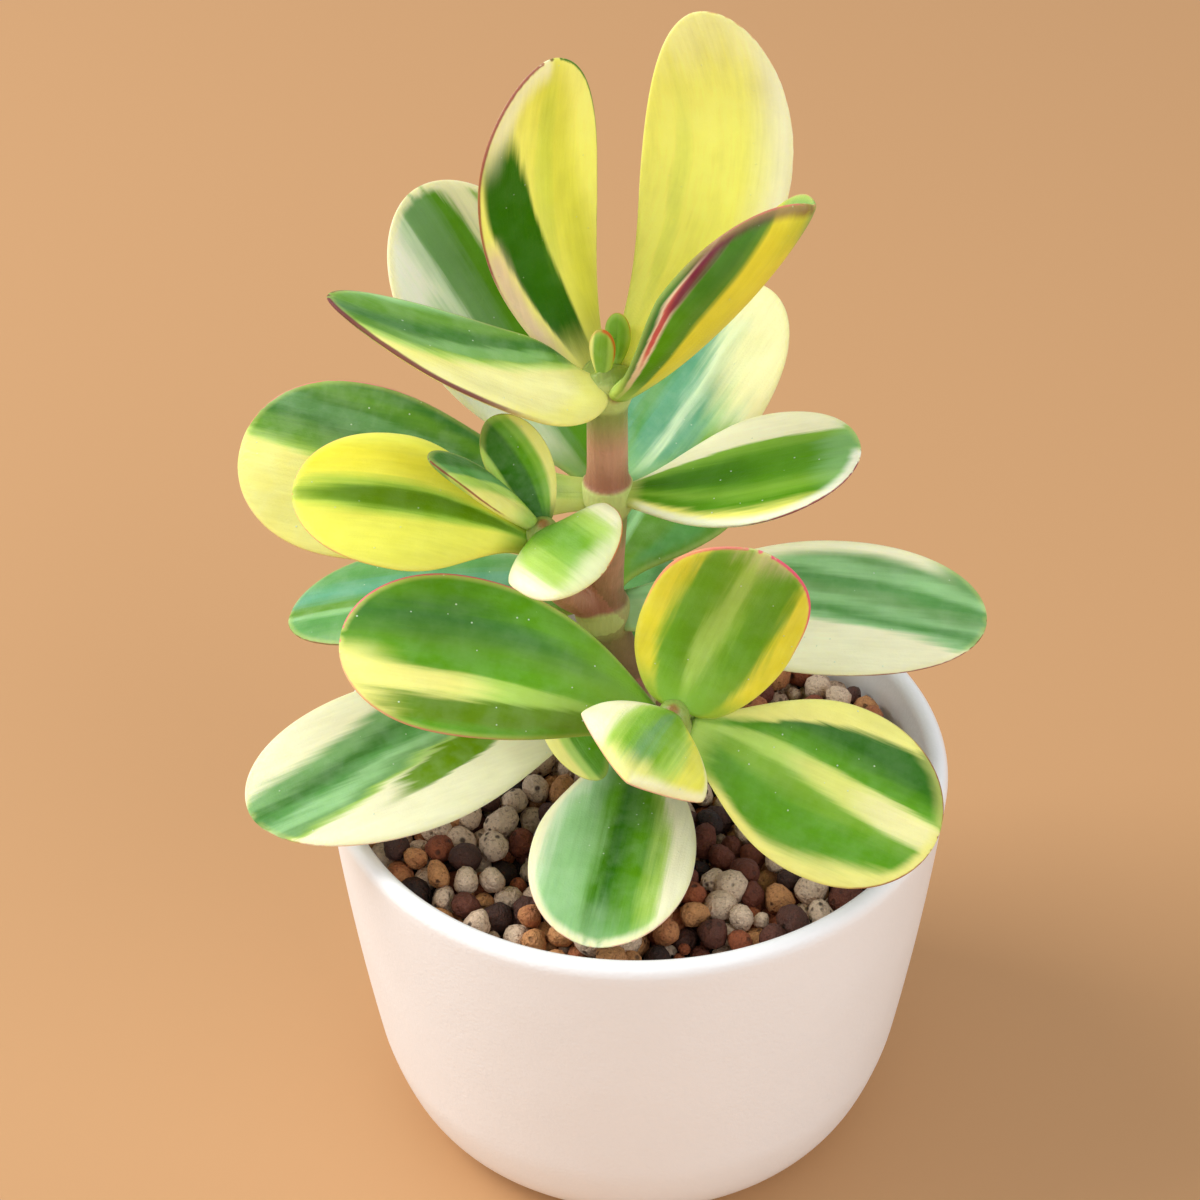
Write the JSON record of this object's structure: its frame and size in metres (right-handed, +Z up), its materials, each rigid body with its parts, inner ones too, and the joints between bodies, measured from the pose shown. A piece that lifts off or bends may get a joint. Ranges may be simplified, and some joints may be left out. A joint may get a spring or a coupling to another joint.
{
  "type": "potted variegated jade plant",
  "caption": "Branching succulent with thick spoon-shaped variegated leaves, growing from a bed of round porous pellets in a plain round white pot with a rounded foot.",
  "frame": {"origin": "middle of the pot's flat base, on the pot's axis", "axes": "+Z up along the pot's axis; -Y is the plant's front, towards the viewer of the picture; +X to the viewer's right"},
  "size_m": [0.1155, 0.1, 0.1944],
  "materials": {
    "pot_ceramic": "satin",
    "pellets": "matte",
    "stem_skin": "matte",
    "leaf_green": "satin",
    "leaf_blue_green": "satin",
    "leaf_yellow": "satin",
    "leaf_cream": "satin"
  },
  "bodies": {
    "root": {"pot": "pot_ceramic", "substrate": "pellets", "stem": "stem_skin", "leaf_crown_upright_left": "leaf_yellow", "leaf_crown_upright_right": "leaf_yellow", "leaf_crown_right": "leaf_green", "leaf_crown_left": "leaf_green", "leaf_crown_bud_front": "leaf_green", "leaf_crown_bud_back": "leaf_green", "leaf_upper_back_left": "leaf_blue_green", "leaf_upper_back_right": "leaf_blue_green", "leaf_upper_right": "leaf_green", "leaf_upper_left": "leaf_green", "leaf_middle_left": "leaf_blue_green", "leaf_middle_right": "leaf_blue_green", "leaf_middle_back": "leaf_blue_green", "leaf_middle_front": "leaf_green", "leaf_lower_left": "leaf_cream", "leaf_lower_front": "leaf_blue_green", "leaf_lower_back": "leaf_blue_green", "leaf_left_shoot_outer": "leaf_yellow", "leaf_left_shoot_small": "leaf_green", "leaf_left_shoot_upright": "leaf_green", "leaf_left_shoot_front": "leaf_green", "leaf_front_shoot_upright": "leaf_green", "leaf_front_shoot_left": "leaf_green", "leaf_front_shoot_right": "leaf_green", "leaf_front_shoot_front": "leaf_cream"}
  },
  "joints": []
}
